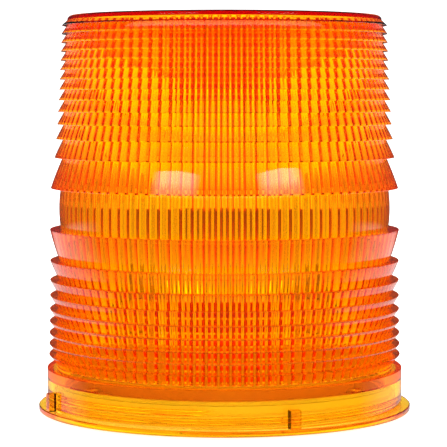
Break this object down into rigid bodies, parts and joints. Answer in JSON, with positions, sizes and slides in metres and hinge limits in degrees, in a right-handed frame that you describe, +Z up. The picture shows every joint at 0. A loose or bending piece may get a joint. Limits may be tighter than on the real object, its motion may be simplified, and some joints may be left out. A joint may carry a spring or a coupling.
{
  "type": "flashing warning beacon",
  "caption": "Round amber flashing warning beacon: tall screw-on Fresnel lens with prism rings and inner flutes over a white base, strobe circuit and plug-in flash tube.",
  "frame": {"origin": "centre of the mounting gasket's underside, on the beacon's axis", "axes": "+Z up along the beacon's axis, from the mounting face to the lens top; -Y is the front, with a lens lug 21 degrees to its right"},
  "size_m": [0.14, 0.14, 0.1479],
  "materials": {
    "amber_lens": "clear amber polycarbonate, gloss, moulded prisms and flutes",
    "clear_silicone": "milky silicone, satin",
    "pale_silicone": "off-white silicone, satin",
    "black_rubber": "black rubber, matte",
    "white_plastic": "white moulded plastic, fine texture",
    "board_laminate": "green solder mask, satin",
    "capacitor_sleeve": "dark blue shrink sleeve",
    "ferrite": "sintered dark grey, matte",
    "winding_tape": "yellow winding tape",
    "copper_winding": "enamelled copper wire",
    "plain_aluminium": "extruded, fine lines",
    "black_epoxy": "moulded black epoxy",
    "clear_glass": "clear glass",
    "green_plastic": "green moulded plastic",
    "ivory_phenolic": "ivory moulded phenolic",
    "plated_steel": "bright zinc plating"
  },
  "bodies": {
    "base": {"mounting_gasket": "pale_silicone", "base_plate": "white_plastic", "cable_grommet": "black_rubber", "circuit_board": "board_laminate", "storage_capacitor": "capacitor_sleeve", "transformer_core": "ferrite", "transformer_winding": "winding_tape", "trigger_coil": "copper_winding", "choke_coil": "copper_winding", "heat_sink": "plain_aluminium", "power_transistor": "black_epoxy", "timer_chip": "black_epoxy", "fuse": "clear_glass", "terminal_block": "green_plastic", "inner_cover": "white_plastic", "tube_socket": "ivory_phenolic", "board_screw_1": "plated_steel", "cover_screw_1": "plated_steel", "board_screw_2": "plated_steel", "cover_screw_2": "plated_steel", "board_screw_3": "plated_steel", "cover_screw_3": "plated_steel", "fuse_clip_1": "plated_steel", "terminal_screw_1": "plated_steel", "socket_screw_1": "plated_steel", "fuse_clip_2": "plated_steel", "terminal_screw_2": "plated_steel", "socket_screw_2": "plated_steel"},
    "seal_ring": {"lens_seal": "clear_silicone"},
    "lens": {"lens": "amber_lens"},
    "flash_tube": {"tube_base": "ivory_phenolic", "tube_pin_1": "plated_steel", "tube_pin_2": "plated_steel", "tube_pin_3": "plated_steel", "glass_envelope": "clear_glass", "xenon_tube": "clear_glass", "electrode_cap_1": "plated_steel", "electrode_cap_2": "plated_steel"}
  },
  "joints": [
    {"name": "lens_rise", "type": "slide", "parent": "base", "child": "seal_ring", "axis": [0, 0, 1], "range_m": [0, 0.00953]},
    {"name": "lens_turn", "type": "hinge", "parent": "seal_ring", "child": "lens", "pos_m": [0, 0, 0], "axis": [0, 0, 1], "range_deg": [0, 1080]},
    {"name": "tube_pull", "type": "slide", "parent": "base", "child": "flash_tube", "axis": [0, 0, 1], "range_m": [0, 0.012]}
  ],
  "couplings": [
    {"joint": "lens_rise", "follows": "lens_turn", "m_per_rad": 0.00050532}
  ]
}
